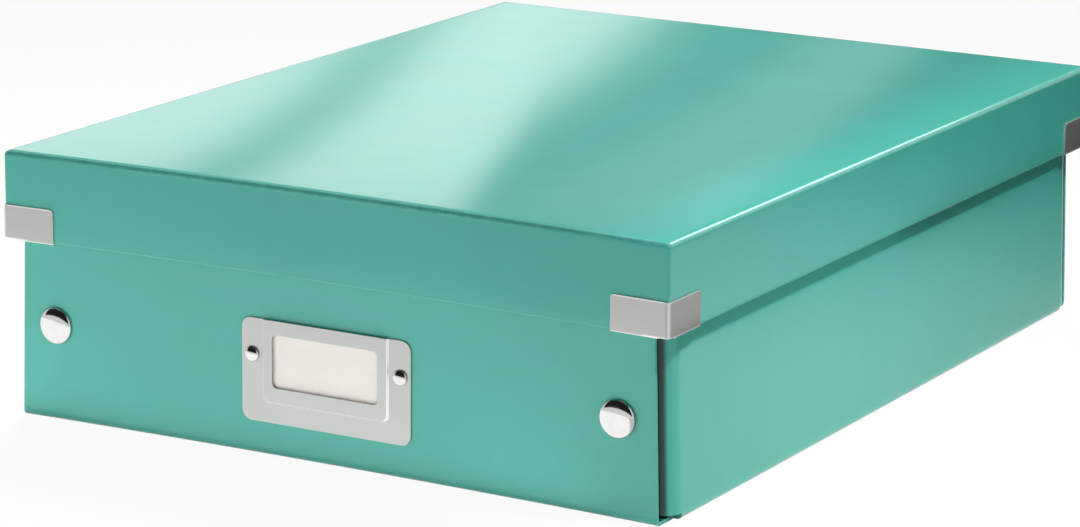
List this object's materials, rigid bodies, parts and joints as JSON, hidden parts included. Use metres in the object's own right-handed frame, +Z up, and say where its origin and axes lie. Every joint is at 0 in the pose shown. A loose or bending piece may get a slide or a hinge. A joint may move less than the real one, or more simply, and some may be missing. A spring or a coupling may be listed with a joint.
{
  "type": "storage box",
  "caption": "Flat lidded storage box for papers: folded board tray closed by press studs, riveted label holder, lift-off lid with metal corner clips.",
  "frame": {"origin": "middle of the footprint on the surface it stands on, with the lid on", "axes": "+X to the right across the front, +Y from the front with the label to the back, +Z up"},
  "size_m": [0.282, 0.3712, 0.1025],
  "materials": {
    "board": "solid board covered with glossy teal laminated paper",
    "clip_metal": "satin nickel-plated steel sheet",
    "stud_metal": "polished plating",
    "plate_metal": "pressed steel sheet, pale satin plating",
    "card": "blank off-white card"
  },
  "bodies": {
    "tray_body": {"tray": "board", "label_holder": "plate_metal", "label_card": "card", "label_rivet_left": "stud_metal", "label_rivet_right": "stud_metal", "stud_cap_front_right": "stud_metal", "stud_socket_front_right": "stud_metal", "stud_knob_front_right": "stud_metal", "stud_eyelet_front_right": "stud_metal", "stud_cap_rear_right": "stud_metal", "stud_socket_rear_right": "stud_metal", "stud_knob_rear_right": "stud_metal", "stud_eyelet_rear_right": "stud_metal", "stud_cap_rear_left": "stud_metal", "stud_socket_rear_left": "stud_metal", "stud_knob_rear_left": "stud_metal", "stud_eyelet_rear_left": "stud_metal", "stud_cap_front_left": "stud_metal", "stud_socket_front_left": "stud_metal", "stud_knob_front_left": "stud_metal", "stud_eyelet_front_left": "stud_metal"},
    "lid_body": {"lid": "board", "corner_clip_front_right": "clip_metal", "corner_clip_rear_right": "clip_metal", "corner_clip_rear_left": "clip_metal", "corner_clip_front_left": "clip_metal"}
  },
  "joints": [
    {"name": "lid_lift", "type": "slide", "parent": "tray_body", "child": "lid_body", "axis": [0, 0, 1], "range_m": [0, 0.15]}
  ]
}
